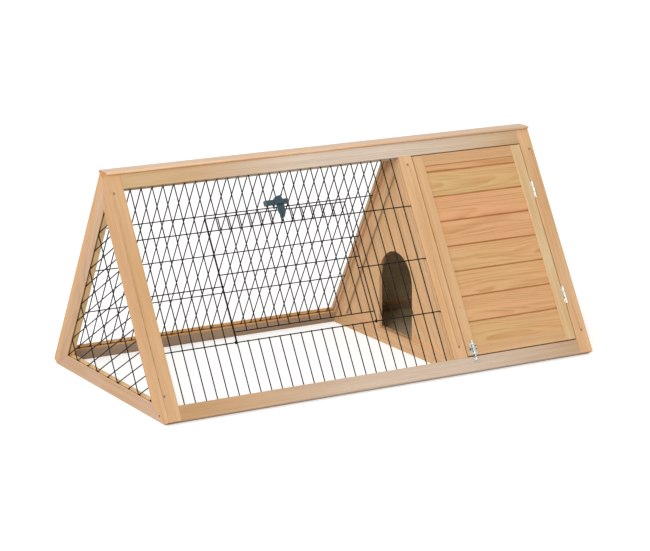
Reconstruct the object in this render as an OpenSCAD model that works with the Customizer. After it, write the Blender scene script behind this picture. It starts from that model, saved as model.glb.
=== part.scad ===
// Outdoor rabbit run: an A-frame of softwood battens, two thirds wire mesh and one third boarded house.
// The ground is z = 0, the ridge runs along X, the front faces -Y and the house is at the +X end.
// Sloping panels are drawn flat, with x along the run, y up the slope and z = 0 on the outer face,
// and are then leaned over by on_front() or on_back().

/* [Run] */
// Length over both end frames
run_l = 1180; // [1000:10:1500]
// Width of a sloping panel, from its foot to the ridge
slope_l = 596; // [540:2:660]
// Lean of the sloping panels, in degrees from the ground
lean = 60; // [57:1:63]

/* [Frame] */
// Width of every frame batten
batten_w = 36; // [32:1:42]
// Thickness of every frame batten
batten_t = 20; // [18:0.5:24]
// Overhang of the ridge batten past each sloping panel
ridge_lip = 4.3; // [2:0.1:8]
// Height of the ridge batten's upright sides
ridge_side = 5.4; // [4:0.2:12]
// Width of the bevel along the ridge batten's upper edges
ridge_bevel = 1.6; // [0.6:0.2:3]

/* [Screws] */
// Diameter of a frame screw's head
screw_head_d = 7; // [6:0.5:9]
// Diameter of a frame screw's shank
screw_d = 3.5; // [3:0.1:4.5]
// Length of a frame screw
screw_l = 42; // [34:1:50]
// Depth of a screw head below the wood
screw_sunk = 1.2; // [0.6:0.1:2]
// Clearance round a screw
screw_clear = 0.05; // [0.02:0.01:0.1]

/* [House] */
// Distance from the right end to the middle of the divider
house_l = 379; // [340:1:460]
// Face width of a tongued board
board_w = 65; // [50:1:80]
// Thickness of the tongued boards
board_t = 9; // [8:0.5:11]
// Depth of a boarded face behind its frame
board_recess = 3; // [2:0.5:5]
// Length of a board's tongue
tongue_l = 5; // [3:0.5:7]
// Thickness of a board's tongue
tongue_t = 3; // [2:0.2:4]
// Bevel along the visible edges of a board
board_bevel = 2.2; // [0.6:0.2:2.4]
// Clearance of a board or panel in its groove
board_clear = 0.2; // [0.1:0.05:0.4]
// Depth that a board or panel enters its groove
board_seat = 6; // [4:0.5:10]
// Thickness of the floor
floor_t = 9; // [6:0.5:15]
// Thickness of the divider's panel
divider_t = 9; // [6:0.5:12]
// Width of the doorway in the divider
arch_w = 156; // [120:2:190]
// Height of the doorway above the divider's bottom rail
arch_h = 211; // [170:1:240]

/* [House door] */
// Gap round the house door
door_gap = 2.5; // [2.3:0.1:4]
// Width of the house door's stiles and rails
door_rail_w = 28; // [24:1:34]
// Thickness of the house door
door_t = 18; // [17:0.5:20]
// Visible height of the lowest board in the door
door_first_board = 56.5; // [30:0.5:64]

/* [Hinges] */
// Length of a hinge
hinge_l = 43; // [36:1:60]
// Distance of the upper hinge's middle from the door's top
upper_hinge_inset = 122.5; // [60:0.5:150]
// Distance of the lower hinge's middle from the door's bottom
lower_hinge_inset = 114.5; // [60:0.5:150]
// Outer diameter of a hinge knuckle
knuckle_d = 4; // [3.8:0.1:6]
// Diameter of a hinge pin
hinge_pin_d = 1.8; // [1.6:0.1:2]
// Thickness of a hinge leaf
leaf_t = 1; // [0.8:0.1:1]
// Depth of a hinge leaf in the gap
leaf_w = 15; // [10:0.5:17]
// Radial clearance of a hinge pin
pin_clear = 0.05; // [0.02:0.01:0.1]

/* [Door bolt] */
// Diameter of the bolt
bolt_d = 5; // [4:0.2:6]
// Length of the bolt's backplate
bolt_plate_l = 30; // [28:1:45]
// Width of the bolt's backplate
bolt_plate_w = 22; // [18:1:26]
// Thickness of the bolt's plates
bolt_plate_t = 1.2; // [0.8:0.1:2]
// Length of each of the bolt's guides
bolt_guide_l = 5; // [4:0.5:6]
// Length of the keeper's loop
keeper_l = 6.5; // [5:0.5:8]
// Width of the keeper's plate
keeper_w = 14; // [12:0.5:22]
// Throw of the bolt
bolt_throw = 7; // [6:0.5:9]
// Reach of the drawn bolt past the door's edge
bolt_reach = 5; // [4:0.5:8]
// Radial clearance of the bolt in its guides
bolt_clear = 0.1; // [0.05:0.01:0.1]
// Diameter of the bolt's bent handle
handle_d = 3.6; // [3:0.2:4]
// Reach of the bolt's handle to the side
handle_l = 11; // [7:0.5:12]
// Length of the handle's turned-up end
handle_tip_l = 4.5; // [3:0.5:6]

/* [Mesh] */
// Thickness of the mesh wire
wire_d = 2.4; // [2:0.1:3]
// Distance between the close wires
mesh_pitch = 28.3; // [24:0.1:34]
// Distance between the cross wires of the sloping meshes
cross_pitch = 136.5; // [120:0.5:150]
// Distance between the cross wires of the end mesh
end_cross_pitch = 98; // [80:1:120]
// Distance of the end mesh's first cross wire from the front leg
end_cross_first = 68; // [40:1:90]
// Distance of the end mesh's first close wire from the front leg's foot
end_close_first = 10.8; // [4:0.1:25]
// Depth of the front mesh behind the outer face of its frame
mesh_depth = 8; // [7:0.5:10]
// Depth of the back mesh behind the outer face of its frame
back_mesh_depth = 11.5; // [8:0.5:13]
// Depth of the end mesh behind the outer face of its frame
end_mesh_depth = 4.5; // [4:0.5:8]
// How much lower the back mesh sits than the front mesh
back_mesh_drop = 5.6; // [0:0.2:8]
// Depth of the mesh groove in the frame's edges
groove_l = 8; // [6:0.5:12]
// Clearance of the mesh in its groove
mesh_clear = 0.3; // [0.2:0.05:0.5]
// Depth that two crossing wires are welded into each other
weld = 0.4; // [0.2:0.05:0.6]

/* [Wire door] */
// Number of close wires to the left of the access opening
gate_first = 6; // [4:1:8]
// Width of the access opening, in mesh pitches
gate_cells = 13; // [10:1:14]
// Overlap of the wire door past the left side of the access opening
gate_left = 4; // [4:0.1:9]
// Overlap of the wire door past the right side of the access opening
gate_right = 8; // [4:0.1:9]
// Height of the wire door between its outer cross wires
gate_h = 279; // [262:1:300]
// Distance of the wire door's lowest cross wire from its hinge wire
gate_foot = 24; // [15:0.5:35]
// Gap between the wire door and the mesh behind it
gate_gap = 0.3; // [0.2:0.05:1]

/* [Wire door latch] */
// Length of the latch bar to the left of its tongue
latch_left_l = 41; // [36:0.5:48]
// Length of the latch bar to the right of its tongue
latch_right_l = 23.5; // [18:0.5:30]
// Height of the latch bar
latch_bar_h = 12; // [11.5:0.5:15]
// Thickness of the latch bar
latch_bar_t = 10; // [9:0.5:13]
// Distance of the latch bar above the wire door
latch_bar_up = 13; // [12:0.5:16]
// Width of the housing in the middle of the latch bar
latch_body_w = 23; // [20:0.5:28]
// Height of the housing above the latch bar
latch_body_up = 10; // [5:0.5:11]
// Travel of the latch tongue
latch_travel = 8; // [6:0.5:8]
// Width of the latch tongue
tongue_w = 19; // [14:0.5:21]
// Length of the latch tongue
tongue_h = 32.5; // [30:0.5:36]
// Running clearance of the tongue in the bar
latch_clear = 0.5; // [0.3:0.05:0.8]

/* [Hidden] */

WOOD = "burlywood";
BOARD = "sandybrown";
PALE = "tan";
STEEL = "silver";
WIRE = "darkslategray";
PLASTIC = "#24414a";

e = 0.5;                       // run-out of a cut past a face
round_fn = 32;
wire_fn = 6;                   // a mesh wire is a hexagonal rod

// The triangle inside the four sloping panels
half_base = slope_l * cos(lean);
apex_z = slope_l * sin(lean);
// Half the width of the ridge batten
ridge_half = batten_t * sin(lean) + ridge_lip;

half_l = run_l / 2;
div_x = half_l - house_l;
stile_in_x = half_l - batten_w;             // inner edge of the end stiles
mid_left_x = div_x - batten_w / 2;
mid_right_x = div_x + batten_w / 2;
top_in_y = slope_l - batten_w;              // lower edge of the top rail

// The mesh bay of a sloping panel
bay_l = mid_left_x + stile_in_x;
bay_mid_x = (mid_left_x - stile_in_x) / 2;
up_cells = floor((bay_l - mesh_pitch / 2) / mesh_pitch);
wire_flat = wire_d / 2 * cos(180 / wire_fn);        // from a wire's middle to its flats
layer = 2 * wire_flat - weld;                       // between the middles of two crossing wires
groove_w = layer + 2 * wire_flat + 2 * mesh_clear;
wire_seat = groove_l - 1;                           // how far a wire reaches into the groove
cross_z = -mesh_depth + layer / 2;                  // cross wires lie outside
close_z = -mesh_depth - layer / 2;                  // close wires lie inside
back_z = mesh_depth - back_mesh_depth;              // the back mesh against the front mesh
wire_tail = wire_d;                                 // a cut wire's end past its last weld

function close_x(i) = bay_mid_x + (i - up_cells / 2) * mesh_pitch;
function cross_y(k) = slope_l / 2 + (k - 1) * cross_pitch;

// The wire door
gate_last = gate_first + gate_cells;
gate_left_x = close_x(gate_first) - gate_left;
gate_right_x = close_x(gate_last) + gate_right;
function gate_x(i) = i == 0 ? gate_left_x : i == gate_cells ? gate_right_x
    : (gate_left_x + gate_right_x) / 2 + (i - gate_cells / 2) * mesh_pitch;
gate_low_y = cross_y(0) + gate_foot;
gate_high_y = gate_low_y + gate_h;
gate_close_z = cross_z + 2 * wire_flat + gate_gap;
gate_cross_z = gate_close_z + layer;
eye_in_r = wire_d / 2 + gate_gap;
eye_out_r = gate_close_z - cross_z + wire_d / 2;

// The latch rides on the wire door's middle close wire
latch_i = ceil(gate_cells / 2);
latch_x = gate_x(latch_i);
latch_bar_y = gate_high_y + latch_bar_up;
latch_back_z = cross_z + wire_flat + 1;                         // back of the latch bar
latch_front_z = latch_back_z + latch_bar_t;
tongue_back_z = gate_cross_z + wire_d / 2 + gate_gap;
latch_tongue_t = latch_front_z - tongue_back_z - 3;
clip_bore_d = wire_d + 0.2;

// The house door
door_x0 = mid_right_x + door_gap;
door_x1 = stile_in_x - door_gap;
door_y0 = batten_w + door_gap;
door_y1 = top_in_y - door_gap;
board_z = -board_recess - board_t / 2;              // middle of the boards' thickness
panel_groove_w = board_t + 2 * board_clear;

// The hinges turn about a line just outside the gap
hinge_x = stile_in_x + leaf_t;
hinge_z = knuckle_d / 2 + 0.2;
knuckle_l = (hinge_l - 2 * door_gap / 5) / 3;
hinge_mid_y = [door_y1 - upper_hinge_inset, door_y0 + lower_hinge_inset];

// The bolt
bolt_x = door_x0 + door_rail_w - bolt_plate_w / 2 + 1;
bolt_z = bolt_plate_t + bolt_d / 2 + 0.8;
bolt_plate_y = door_y0 + 1;
bolt_tip_y = door_y0 - bolt_reach;
bolt_wall = 1.3;                                   // wall of a guide round the bolt
keeper_y1 = bolt_tip_y - 2;

// A batten with square edges, from one corner
module batten(x, y, w, h) {
    translate([x, y, -batten_t]) cube([w, h, batten_t]);
}

// Leans a flat panel over to the front or the back slope
module on_front() {
    translate([0, -half_base - batten_t * sin(lean), batten_t * cos(lean)])
        rotate([lean, 0, 0]) children();
}
module on_back() { mirror([0, 1, 0]) on_front() children(); }

// The groove that takes the mesh, all round the mesh bay of a sloping panel
module mesh_groove(depth) {
    translate([-stile_in_x - groove_l, batten_w - groove_l, -depth - groove_w / 2])
        cube([bay_l + 2 * groove_l, top_in_y - batten_w + 2 * groove_l, groove_w]);
}

// The groove that takes the boards, all round the house's back
module board_groove() {
    deep = board_seat + 2 * board_clear;
    translate([mid_right_x - deep, batten_w - deep, board_z - panel_groove_w / 2])
        cube([stile_in_x - mid_right_x + 2 * deep, top_in_y - batten_w + 2 * deep, panel_groove_w]);
}

// The screws of a sloping panel were driven by hand: two in each stile, each a little astray
screw_line_x = [-half_l + batten_t / 2, div_x, half_l - batten_t / 2];
screw_stray_x = [[-2, 0], [2.5, 1.5], [-4.5, -2]];
screw_inset_y = [[61, 45], [65, 58], [58, 54]];             // from the stile's lower and upper end
function screw_spots() = [
    for (i = [0:2]) for (k = [0, 1])
        [screw_line_x[i] + screw_stray_x[i][k],
         k == 0 ? screw_inset_y[i][k] : slope_l - screw_inset_y[i][k]]
];
module screw_shape(grow) {
    head_r = screw_head_d / 2;
    cone_l = head_r - screw_d / 2;
    translate([0, 0, -screw_sunk - cone_l - grow])
        cylinder(r1 = screw_d / 2 + grow, r2 = head_r + grow, h = cone_l + grow, $fn = round_fn);
    translate([0, 0, -screw_l - grow])
        cylinder(r = screw_d / 2 + grow, h = screw_l - screw_sunk - cone_l + 2 * grow, $fn = round_fn);
}
module screw_hole() {
    screw_shape(screw_clear);
    translate([0, 0, -screw_sunk])
        cylinder(r = screw_head_d / 2 + screw_clear, h = screw_sunk + e, $fn = round_fn);
}
module screw_holes() {
    for (spot = screw_spots()) translate([spot[0], spot[1], 0]) screw_hole();
}
module screws() {
    slot_w = 0.9;
    slot_l = screw_head_d * 0.55;
    for (spot = screw_spots()) translate([spot[0], spot[1], 0])
        difference() {
            screw_shape(0);
            for (turn = [0, 90])
                rotate([0, 0, turn]) translate([-slot_l / 2, -slot_w / 2, -screw_sunk - 1])
                    cube([slot_l, slot_w, 1 + e]);
        }
}

// Members of a sloping panel
module left_stile(depth) {
    difference() {
        batten(-half_l, 0, batten_w, slope_l);
        mesh_groove(depth);
        screw_holes();
    }
}
module mid_stile(depth, boarded) {
    difference() {
        batten(mid_left_x, batten_w, batten_w, top_in_y - batten_w);
        mesh_groove(depth);
        if (boarded) board_groove();
        screw_holes();
    }
}
module right_stile(boarded) {
    difference() {
        batten(stile_in_x, 0, batten_w, slope_l);
        if (boarded) board_groove();
        screw_holes();
    }
}
module long_rail(y, depth, boarded) {
    difference() {
        batten(-stile_in_x, y, 2 * stile_in_x, batten_w);
        mesh_groove(depth);
        if (boarded) board_groove();
    }
}
module front_left_stile() { color(WOOD) on_front() left_stile(mesh_depth); }
module front_mid_stile() { color(WOOD) on_front() mid_stile(mesh_depth, false); }
module front_right_stile() { color(WOOD) on_front() right_stile(false); }
module front_top_rail() { color(WOOD) on_front() long_rail(top_in_y, mesh_depth, false); }
module front_bottom_rail() { color(WOOD) on_front() long_rail(0, mesh_depth, false); }
module back_left_stile() { color(WOOD) on_back() left_stile(back_mesh_depth); }
module back_mid_stile() { color(WOOD) on_back() mid_stile(back_mesh_depth, true); }
module back_right_stile() { color(WOOD) on_back() right_stile(true); }
module back_top_rail() { color(WOOD) on_back() long_rail(top_in_y, back_mesh_depth, true); }
module back_bottom_rail() { color(WOOD) on_back() long_rail(0, back_mesh_depth, true); }
module front_screws() { color(STEEL) on_front() screws(); }
module back_screws() { color(STEEL) on_back() screws(); }

// The ridge batten's V sits on the square-cut tops of both sloping panels
module ridge_batten() {
    eave_z = apex_z + ridge_half / tan(lean);
    top_z = eave_z + ridge_side;
    half = [
        [0, apex_z], [ridge_half, eave_z], [ridge_half, top_z - ridge_bevel],
        [ridge_half - ridge_bevel, top_z]
    ];
    color(WOOD) translate([-half_l, 0, 0]) rotate([90, 0, 90])
        linear_extrude(run_l)
            polygon(concat(half, [for (i = [len(half) - 1:-1:1]) [-half[i][0], half[i][1]]]));
}

// End frames and divider: a triangle of three mitred battens.
// An edge that lies a distance inset inside the triangle has these three corners.
function corner_y(inset) = half_base - inset / tan(lean / 2);
function corner_top(inset) = apex_z - inset / cos(lean);
module triangle(inset) {
    polygon([[-corner_y(inset), inset], [corner_y(inset), inset], [0, corner_top(inset)]]);
}
// Stands a drawing of y and z upright, between two places along X
module upright(x0, x1) {
    translate([x0, 0, 0]) rotate([90, 0, 90]) linear_extrude(x1 - x0) children();
}
module leg_outline(side) {
    polygon([
        [side * half_base, 0], [0, apex_z],
        [0, corner_top(batten_w)], [side * corner_y(batten_w), batten_w]
    ]);
}
module foot_outline() {
    polygon([
        [-half_base, 0], [half_base, 0],
        [corner_y(batten_w), batten_w], [-corner_y(batten_w), batten_w]
    ]);
}
module left_groove() {
    mid = -half_l + end_mesh_depth;
    upright(mid - groove_w / 2, mid + groove_w / 2) triangle(batten_w - groove_l);
}
module divider_groove() {
    half = divider_t / 2 + board_clear;
    upright(div_x - half, div_x + half) triangle(batten_w - board_seat - 2 * board_clear);
}
module right_groove() {
    mid = half_l + board_z;
    upright(mid - panel_groove_w / 2, mid + panel_groove_w / 2)
        triangle(batten_w - board_seat - 2 * board_clear);
}
module front_holes() { on_front() screw_holes(); }
module back_holes() { on_back() screw_holes(); }

module left_front_leg() {
    color(WOOD) difference() {
        upright(-half_l, -half_l + batten_t) leg_outline(-1);
        left_groove();
        front_holes();
    }
}
module left_back_leg() {
    color(WOOD) difference() {
        upright(-half_l, -half_l + batten_t) leg_outline(1);
        left_groove();
        back_holes();
    }
}
module left_bottom_rail() {
    color(WOOD) difference() {
        upright(-half_l, -half_l + batten_t) foot_outline();
        left_groove();
    }
}
module divider_front_leg() {
    color(WOOD) difference() {
        upright(div_x - batten_t / 2, div_x + batten_t / 2) leg_outline(-1);
        divider_groove();
        front_holes();
    }
}
module divider_back_leg() {
    color(WOOD) difference() {
        upright(div_x - batten_t / 2, div_x + batten_t / 2) leg_outline(1);
        divider_groove();
        back_holes();
    }
}
module divider_bottom_rail() {
    color(WOOD) difference() {
        upright(div_x - batten_t / 2, div_x + batten_t / 2) foot_outline();
        divider_groove();
    }
}
module right_front_leg() {
    color(WOOD) difference() {
        upright(half_l - batten_t, half_l) leg_outline(-1);
        right_groove();
        front_holes();
    }
}
module right_back_leg() {
    color(WOOD) difference() {
        upright(half_l - batten_t, half_l) leg_outline(1);
        right_groove();
        back_holes();
    }
}
module right_bottom_rail() {
    color(WOOD) difference() {
        upright(half_l - batten_t, half_l) foot_outline();
        right_groove();
    }
}

// The divider's panel, with the arched doorway standing on the bottom rail
module divider_panel() {
    arch_r = arch_w / 2;
    color(BOARD) difference() {
        upright(div_x - divider_t / 2, div_x + divider_t / 2) triangle(batten_w - board_seat);
        translate([div_x - divider_t, -arch_r, batten_w])
            cube([2 * divider_t, arch_w, arch_h - arch_r]);
        translate([div_x - divider_t, 0, batten_w + arch_h - arch_r]) rotate([0, 90, 0])
            cylinder(r = arch_r, h = 2 * divider_t, $fn = 96);
    }
}

// Tongued boards lie along x and stack along y, with their beveled face outwards, towards +z.
// The first seam is at first, and bottom and top are the ends of the stack.
module board_profile() {
    lip = board_w - 2 * board_clear;
    half_t = board_t / 2;
    slot = tongue_t / 2 + board_clear;
    polygon([
        [0, -half_t], [lip, -half_t], [lip, -tongue_t / 2], [lip + tongue_l, -tongue_t / 2],
        [lip + tongue_l, tongue_t / 2], [lip, tongue_t / 2], [lip, half_t - board_bevel],
        [lip - board_bevel, half_t], [board_bevel, half_t], [0, half_t - board_bevel],
        [0, slot], [tongue_l + 2 * board_clear, slot], [tongue_l + 2 * board_clear, -slot], [0, -slot]
    ]);
}
module boards(length, first, bottom, top) {
    below = ceil((first - bottom) / board_w);
    above = ceil((top - first) / board_w);
    for (i = [-below:above - 1])
        translate([0, first + i * board_w, 0]) rotate([90, 0, 90])
            linear_extrude(length) board_profile();
}
module right_end_boards() {
    seat = batten_w - board_seat;
    color(BOARD) intersection() {
        translate([half_l + board_z, -half_base, 0]) rotate([90, 0, 90])
            boards(2 * half_base, seat, seat, apex_z);
        upright(half_l - batten_t, half_l) triangle(seat);
    }
}
module house_back_boards() {
    length = stile_in_x - mid_right_x + 2 * board_seat;
    color(BOARD) on_back() intersection() {
        translate([mid_right_x - board_seat, 0, board_z])
            boards(length, batten_w - board_seat, batten_w - board_seat, top_in_y + board_seat);
        translate([mid_right_x - board_seat, batten_w - board_seat, -batten_t])
            cube([length, top_in_y - batten_w + 2 * board_seat, batten_t]);
    }
}

// The floor lies on the ground inside the bottom rails
module house_floor() {
    half_w = half_base - floor_t / tan(lean) - 0.3;
    x0 = div_x + batten_t / 2;
    color(BOARD) translate([x0, -half_w, 0]) cube([half_l - batten_t - x0, 2 * half_w, floor_t]);
}

// Mesh wires: hexagonal rods with their flats towards the mesh's faces
module wire_along_y(x, z, y0, y1) {
    translate([x, y0, z]) rotate([-90, 0, 0]) cylinder(d = wire_d, h = y1 - y0, $fn = wire_fn);
}
module wire_along_x(y, z, x0, x1) {
    translate([x0, y, z]) rotate([0, 90, 0]) rotate([0, 0, 90])
        cylinder(d = wire_d, h = x1 - x0, $fn = wire_fn);
}
module bay_cross_wire(k, x0, x1) { wire_along_x(cross_y(k), cross_z, x0, x1); }

module back_mesh() {
    color(WIRE) on_back() translate([0, 0, back_z]) union() {
        for (i = [0:up_cells])
            wire_along_y(close_x(i), close_z, batten_w - wire_seat, top_in_y + wire_seat);
        translate([0, -back_mesh_drop, 0])
            for (k = [0:2]) bay_cross_wire(k, -stile_in_x - wire_seat, mid_left_x + wire_seat);
    }
}
// The front mesh is cut out between its outer cross wires for access
module front_mesh() {
    x0 = -stile_in_x - wire_seat;
    x1 = mid_left_x + wire_seat;
    color(WIRE) on_front() union() {
        for (i = [0:up_cells])
            if (i > gate_first && i < gate_last) {
                wire_along_y(close_x(i), close_z, batten_w - wire_seat, cross_y(0) + wire_tail);
                wire_along_y(close_x(i), close_z, cross_y(2) - wire_tail, top_in_y + wire_seat);
            } else
                wire_along_y(close_x(i), close_z, batten_w - wire_seat, top_in_y + wire_seat);
        bay_cross_wire(0, x0, x1);
        bay_cross_wire(1, x0, close_x(gate_first) + wire_tail);
        bay_cross_wire(1, close_x(gate_last) - wire_tail, x1);
        bay_cross_wire(2, x0, x1);
    }
}
// The end mesh is square to the front leg. It is drawn with x up that leg from its inner foot
// and the end's opening on the -y side.
module left_end_mesh() {
    side = 2 * corner_y(batten_w);
    reach = groove_l + batten_w;
    color(WIRE) intersection() {
        upright(-half_l, -half_l + batten_t) triangle(batten_w - wire_seat);
        translate([-half_l + end_mesh_depth, -corner_y(batten_w), batten_w])
            rotate([90, 0, 90]) rotate([0, 0, lean]) union() {
                for (s = [end_close_first:mesh_pitch:side])
                    wire_along_y(s, layer / 2, -side, reach);
                for (s = [end_cross_first:end_cross_pitch:side * sin(lean)])
                    wire_along_x(-s, -layer / 2, -reach, side + reach);
                // An edge wire in the front leg's groove holds the shortest close wires
                wire_along_x(wire_seat - wire_d, -layer / 2, -reach, side + reach);
            }
    }
}

// The wire door hangs on the lowest cross wire by an eye at each side
module wire_door() {
    hinge_y = cross_y(0);
    color(WIRE) on_front() union() {
        for (i = [0:gate_cells]) {
            foot = (i == 0 || i == gate_cells) ? hinge_y + 1 : gate_low_y - wire_tail / 2;
            wire_along_y(gate_x(i), gate_close_z, foot, gate_high_y + wire_tail / 2);
        }
        for (y = [gate_low_y, gate_low_y + gate_h / 2, gate_high_y])
            wire_along_x(y, gate_cross_z, gate_left_x - wire_tail / 2, gate_right_x + wire_tail / 2);
        for (x = [gate_left_x, gate_right_x])
            translate([x - wire_d / 2, hinge_y, cross_z]) rotate([0, 90, 0])
                difference() {
                    cylinder(r = eye_out_r, h = wire_d, $fn = round_fn);
                    translate([0, 0, -e]) cylinder(r = eye_in_r, h = wire_d + 2 * e, $fn = round_fn);
                }
    }
}

// The latch bar is clipped to the mesh above the wire door. The housing in its middle has a
// pocket that takes the tongue's top, a hook for the thumb and a short leg to its left.
module latch_keeper() {
    bar_x0 = latch_x - latch_left_l;
    bar_x1 = latch_x + latch_right_l;
    body_x0 = latch_x - tongue_w / 2 - 7;
    body_x1 = body_x0 + latch_body_w;
    top_y = latch_bar_y + latch_bar_h;
    hook_y = top_y + latch_body_up;
    clip_w = wire_d + 3;
    clip_back_z = close_z - wire_d / 2 - 1.2;
    chamfer = 1.6;
    color(PLASTIC) on_front() difference() {
        union() {
            translate([bar_x0, latch_bar_y, latch_back_z]) rotate([90, 0, 90])
                linear_extrude(bar_x1 - bar_x0) polygon([
                    [0, 0], [latch_bar_h, 0], [latch_bar_h, latch_bar_t - chamfer],
                    [latch_bar_h - chamfer, latch_bar_t], [chamfer, latch_bar_t],
                    [0, latch_bar_t - chamfer]
                ]);
            translate([0, 0, latch_back_z]) linear_extrude(latch_bar_t + 2) polygon([
                [body_x0, latch_bar_y], [body_x0, top_y - 1], [body_x0 + 7, hook_y - 3],
                [body_x1 - 4, hook_y - 1], [body_x1 + 2, hook_y], [body_x1 + 2, hook_y - 2],
                [body_x1 - 2, hook_y - 4.5], [body_x1, top_y], [body_x1, latch_bar_y]
            ]);
            translate([body_x0 - 2, latch_bar_y - 9, latch_back_z])
                cube([4, 9 + latch_bar_h / 2, 4]);
            for (i = [latch_i - 1, latch_i])
                translate([close_x(gate_first + i) - clip_w / 2, latch_bar_y, clip_back_z])
                    cube([clip_w, latch_bar_h, latch_back_z - clip_back_z + e]);
        }
        for (i = [latch_i - 1, latch_i])
            translate([close_x(gate_first + i), latch_bar_y - e, close_z]) {
                rotate([-90, 0, 0]) cylinder(d = clip_bore_d, h = latch_bar_h + 2 * e, $fn = round_fn);
                translate([-wire_d * 0.35, 0, -clip_w])
                    cube([wire_d * 0.7, latch_bar_h + 2 * e, clip_w]);
            }
        translate([latch_x - tongue_w / 2 - latch_clear, latch_bar_y - e, tongue_back_z - latch_clear])
            cube([tongue_w + 2 * latch_clear, latch_travel + 2 + e, latch_tongue_t + 2 * latch_clear]);
        for (x = [bar_x0, bar_x1])
            translate([x, latch_bar_y + latch_bar_h / 2, latch_front_z]) rotate([90, 45, 0])
                cube([4, 4, latch_bar_h + 2 * e], center = true);
    }
}
// The tongue slides up the wire door's middle wire, so that its top enters the bar
module latch_tongue() {
    tip_w = 5;
    top_y = latch_bar_y - 0.5;
    tip_y = top_y - tongue_h;
    shoulder_y = tip_y + tongue_h * 0.4;
    collar_l = gate_high_y - wire_d / 2 - 0.5 - latch_travel - tip_y;
    collar_back_z = gate_close_z - wire_d / 2 - 1;
    color(PLASTIC) on_front() difference() {
        union() {
            translate([latch_x, 0, tongue_back_z]) linear_extrude(latch_tongue_t)
                polygon([
                    [-tip_w / 2, tip_y], [tip_w / 2, tip_y], [tongue_w / 2, shoulder_y],
                    [tongue_w / 2, top_y], [-tongue_w / 2, top_y], [-tongue_w / 2, shoulder_y]
                ]);
            // Rib for the thumb, below what goes into the bar
            translate([latch_x - tip_w / 2, tip_y, tongue_back_z])
                cube([tip_w, tongue_h - latch_travel - 2, latch_tongue_t + 1.5]);
            translate([latch_x - 2.6, tip_y, collar_back_z])
                cube([5.2, collar_l, tongue_back_z - collar_back_z + e]);
        }
        translate([latch_x, tip_y - e, gate_close_z]) rotate([-90, 0, 0])
            cylinder(d = clip_bore_d, h = collar_l + 2 * e, $fn = round_fn);
    }
}

// Members of the house door
module door_batten(x, y, w, h) {
    difference() {
        translate([x, y, -door_t]) cube([w, h, door_t]);
        deep = door_rail_w - board_seat - 2 * board_clear;
        translate([door_x0 + deep, door_y0 + deep, board_z - panel_groove_w / 2])
            cube([door_x1 - door_x0 - 2 * deep, door_y1 - door_y0 - 2 * deep, panel_groove_w]);
    }
}
door_in_l = door_x1 - door_x0 - 2 * door_rail_w;
module door_left_stile() {
    color(PALE) on_front() door_batten(door_x0, door_y0, door_rail_w, door_y1 - door_y0);
}
module door_right_stile() {
    color(PALE) on_front() door_batten(door_x1 - door_rail_w, door_y0, door_rail_w, door_y1 - door_y0);
}
module door_top_rail() {
    color(PALE) on_front()
        door_batten(door_x0 + door_rail_w, door_y1 - door_rail_w, door_in_l, door_rail_w);
}
module door_bottom_rail() {
    color(PALE) on_front() door_batten(door_x0 + door_rail_w, door_y0, door_in_l, door_rail_w);
}
module door_boards() {
    seat = door_rail_w - board_seat;
    length = door_in_l + 2 * board_seat;
    color(BOARD) on_front() intersection() {
        translate([door_x0 + seat, 0, board_z])
            boards(length, door_y0 + door_rail_w + door_first_board, door_y0 + seat, door_y1 - seat);
        translate([door_x0 + seat, door_y0 + seat, -door_t])
            cube([length, door_y1 - door_y0 - 2 * seat, door_t]);
    }
}

// Butt hinges: the leaves lie in the gap at the door's edge, the knuckles stand outside it
module knuckle(y0, y1) {
    translate([hinge_x, y0, hinge_z]) rotate([-90, 0, 0])
        cylinder(d = knuckle_d, h = y1 - y0, $fn = round_fn);
}
module knuckle_bore(y0, y1) {
    translate([hinge_x, y0 - e, hinge_z]) rotate([-90, 0, 0])
        cylinder(d = hinge_pin_d + 2 * pin_clear, h = y1 - y0 + 2 * e, $fn = round_fn);
}
knuckle_gap = (hinge_l - 3 * knuckle_l) / 2;
module hinge_frame_leaf(mid_y) {
    y0 = mid_y - hinge_l / 2;
    y1 = mid_y + hinge_l / 2;
    mid0 = mid_y - knuckle_l / 2 - knuckle_gap;
    mid1 = mid_y + knuckle_l / 2 + knuckle_gap;
    color(STEEL) on_front() difference() {
        union() {
            translate([stile_in_x - leaf_t, y0, -leaf_w]) cube([leaf_t, hinge_l, leaf_w]);
            for (part = [[y0, mid0], [mid1, y1]]) {
                translate([stile_in_x - leaf_t, part[0], -e])
                    cube([leaf_t, part[1] - part[0], hinge_z + e]);
                knuckle(part[0], part[1]);
            }
        }
        knuckle_bore(y0, y1);
    }
}
module hinge_door_leaf(mid_y) {
    y0 = mid_y - knuckle_l / 2;
    y1 = mid_y + knuckle_l / 2;
    color(STEEL) on_front() difference() {
        union() {
            translate([door_x1, mid_y - hinge_l / 2, -leaf_w]) cube([leaf_t, hinge_l, leaf_w]);
            translate([door_x1, y0, -e]) cube([leaf_t, knuckle_l, hinge_z + leaf_t / 2 + e]);
            translate([door_x1, y0, hinge_z - leaf_t / 2]) cube([hinge_x - door_x1, knuckle_l, leaf_t]);
            knuckle(y0, y1);
        }
        knuckle_bore(y0, y1);
    }
}
module hinge_pin(mid_y) {
    head_l = 0.8;
    color(STEEL) on_front() translate([hinge_x, mid_y - hinge_l / 2 - head_l - 0.1, hinge_z])
        rotate([-90, 0, 0]) {
            cylinder(d = hinge_pin_d, h = hinge_l + 2 * head_l, $fn = round_fn);
            cylinder(d = knuckle_d - 1, h = head_l, $fn = round_fn);
        }
}
module upper_hinge_frame_leaf() { hinge_frame_leaf(hinge_mid_y[0]); }
module upper_hinge_door_leaf() { hinge_door_leaf(hinge_mid_y[0]); }
module upper_hinge_pin() { hinge_pin(hinge_mid_y[0]); }
module lower_hinge_frame_leaf() { hinge_frame_leaf(hinge_mid_y[1]); }
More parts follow.
